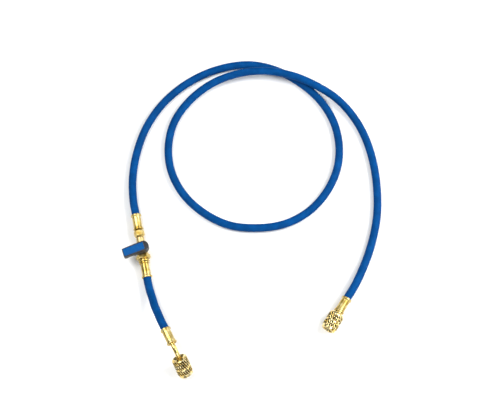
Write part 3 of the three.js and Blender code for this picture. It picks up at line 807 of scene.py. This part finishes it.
def handleGrid():
    # At each x: a rectangle with rounded corners, whose top has the plate's seat cut into it.
    hub, tipRound = handle["back"] + handle["half"], handle["tipRound"]
    roundFrom = handle["tip"] - tipRound
    back = hub - handle["half"] * np.cos(np.linspace(0, math.pi / 2, 14))
    front = roundFrom + tipRound * np.sin(np.linspace(0, math.pi / 2, 8))
    seatFrom, seatTo = handle["plateFrom"] - gap, handle["plateTo"] + gap
    seat = [seatFrom, seatFrom + 0.02, seatTo - 0.02, seatTo]
    between = np.linspace(-2.4, 24.6, 60)
    x = np.concatenate([back, front, seat, handle["bottomX"], handle["topX"], between])
    x = np.unique(np.round(x, 4))
    half = np.interp(x, (handle["narrowsFrom"], handle["tip"]), (handle["half"], handle["tipHalf"]))
    aroundHub = np.sqrt(np.clip(handle["half"] ** 2 - (x - hub) ** 2, 0, None))
    half = np.where(x < hub, aroundHub, half)
    inTip = np.clip((x - roundFrom) / tipRound, 0, 1)
    half = half - tipRound * (1 - np.sqrt(1 - inTip ** 2))
    top = np.interp(x, handle["topX"], handle["topZ"])
    bottom = np.interp(x, handle["bottomX"], handle["bottomZ"])
    radius = np.minimum(handle["cornerRadius"], half)
    inSeat = (x > seatFrom + 0.01) & (x < seatTo - 0.01)
    floor = top - np.where(inSeat, handle["plateDepth"], 0.0)
    seatHalf = np.minimum(handle["plateHalf"] + gap, half - radius)
    section = np.concatenate([
        cornerArc(half - radius, bottom + radius, radius, -90),
        cornerArc(half - radius, top - radius, radius, 0),
        pairs(seatHalf, top), pairs(seatHalf, floor), pairs(-seatHalf, floor), pairs(-seatHalf, top),
        cornerArc(radius - half, top - radius, radius, 90),
        cornerArc(radius - half, bottom + radius, radius, 180),
    ], 1)
    return loftGrid(lever, section, x)


slopeStart, slopeTop = -5.1, 14.5
slope = math.degrees(math.atan2(slopeTop - handle["topZ"][-1], handle["tip"] - slopeStart))
platePlace = lever @ pose(slopeStart, 0, slopeTop, pitch=-slope)
plate = {"from": 1.3, "to": 30.1, "half": 5.0, "low": -0.9, "corner": 0.9, "edge": 0.25, "crown": 0.12}


def plateGrid():
    # A thin slab, rounded in plan at its corners and along its top edge, with a slightly crowned top.
    curve = np.linspace(0, math.pi / 2, 8)
    x = np.concatenate([plate["from"] + plate["corner"] * (1 - np.cos(curve)),
                        np.linspace(plate["from"] + 2, plate["to"] - 2, 14),
                        plate["to"] - plate["corner"] * (1 - np.sin(curve))])
    endwise = np.clip(np.minimum(x - plate["from"], plate["to"] - x) / plate["corner"], 0, 1)
    half = plate["half"] - plate["corner"] * (1 - np.sqrt(1 - (1 - endwise) ** 2))
    edge = np.full_like(x, plate["edge"])
    low, high = np.full_like(x, plate["low"]), np.full_like(x, 0.0)
    across = np.linspace(1, -1, 9)[1:-1]
    crown = [pairs(half * k * 0.95, high + plate["crown"] * (1 - k * k)) for k in across]
    section = np.concatenate([
        pairs(half, low),
        cornerArc(half - edge, high - edge, edge, 0),
        *crown,
        cornerArc(edge - half, high - edge, edge, 90),
        pairs(-half, low),
    ], 1)
    return loftGrid(platePlace, section, x)


replacePiece("valve_handle", [handleGrid()], blackNylon, "lever", sharpDegrees=34)
replacePiece("handle_inset", [plateGrid()], blueNylon, "lever")
stemMesh = nodes["valve_stem"].data
stemMesh.materials.clear()
stemMesh.materials.append(brightBrass)
print("lever made")

# Studio: pale floor, three large soft lights and a surround that is pale only overhead
studio = {
    "floor": "#f4f4f3",
    "floorHalf": 3.0,
    "low": "#1c1b18",
    "high": "#8d9094",
    "lights": [
        # place in metres, size, power in watts
        ((1.1, 0.3, 1.0), (1.1, 0.9), 28),
        ((-0.8, 0.2, 1.6), (1.0, 0.8), 24),
        ((0.5, -1.1, 0.9), (1.0, 0.6), 8),
    ],
}


def makeStudio():
    floorMesh = bpy.data.meshes.new("floor")
    half = studio["floorHalf"]
    corners = [(-half, -half, 0), (half, -half, 0), (half, half, 0), (-half, half, 0)]
    floorMesh.from_pydata(corners, [], [(0, 1, 2, 3)])
    floor = bpy.data.objects.new("floor", floorMesh)
    made, tree, surface = newMaterial("floor_paper", Roughness=0.9)
    surface.inputs["Base Color"].default_value = linear(studio["floor"])
    surface.inputs["Specular IOR Level"].default_value = 0.1
    floorMesh.materials.append(made)
    bpy.context.scene.collection.objects.link(floor)
    world = bpy.data.worlds.new("surround")
    world.use_nodes = True
    # Dark near the horizon and pale overhead, so that bright metal shows both.
    tree = world.node_tree
    where = addNode(tree, "TexCoord")
    parts = addNode(tree, "SeparateXYZ", {"Vector": where.outputs["Generated"]})
    rise = addNode(tree, "MapRange", {"Value": parts.outputs["Z"]}, interpolation_type="SMOOTHSTEP",
                   inputs={"From Min": 0.1, "From Max": 0.75})
    sky = twoTone(tree, rise.outputs["Result"], studio["low"], studio["high"])
    tree.links.new(sky.outputs["Result"], tree.nodes["Background"].inputs["Color"])
    bpy.context.scene.world = world
    aim = np.array(camera["target"]) * mm
    for number, (place, size, power) in enumerate(studio["lights"]):
        data = bpy.data.lights.new(f"softbox{number}", "AREA")
        data.shape = "RECTANGLE"
        data.size, data.size_y = size
        data.energy = power
        light = bpy.data.objects.new(f"softbox{number}", data)
        light.location = place
        towards = aim - np.array(place)
        light.rotation_euler = (
            math.atan2(math.hypot(towards[0], towards[1]), -towards[2]),
            0,
            math.atan2(towards[1], towards[0]) - math.pi / 2,
        )
        bpy.context.scene.collection.objects.link(light)
    bpy.context.scene.view_settings.view_transform = "Standard"


makeStudio()
print("studio lit")
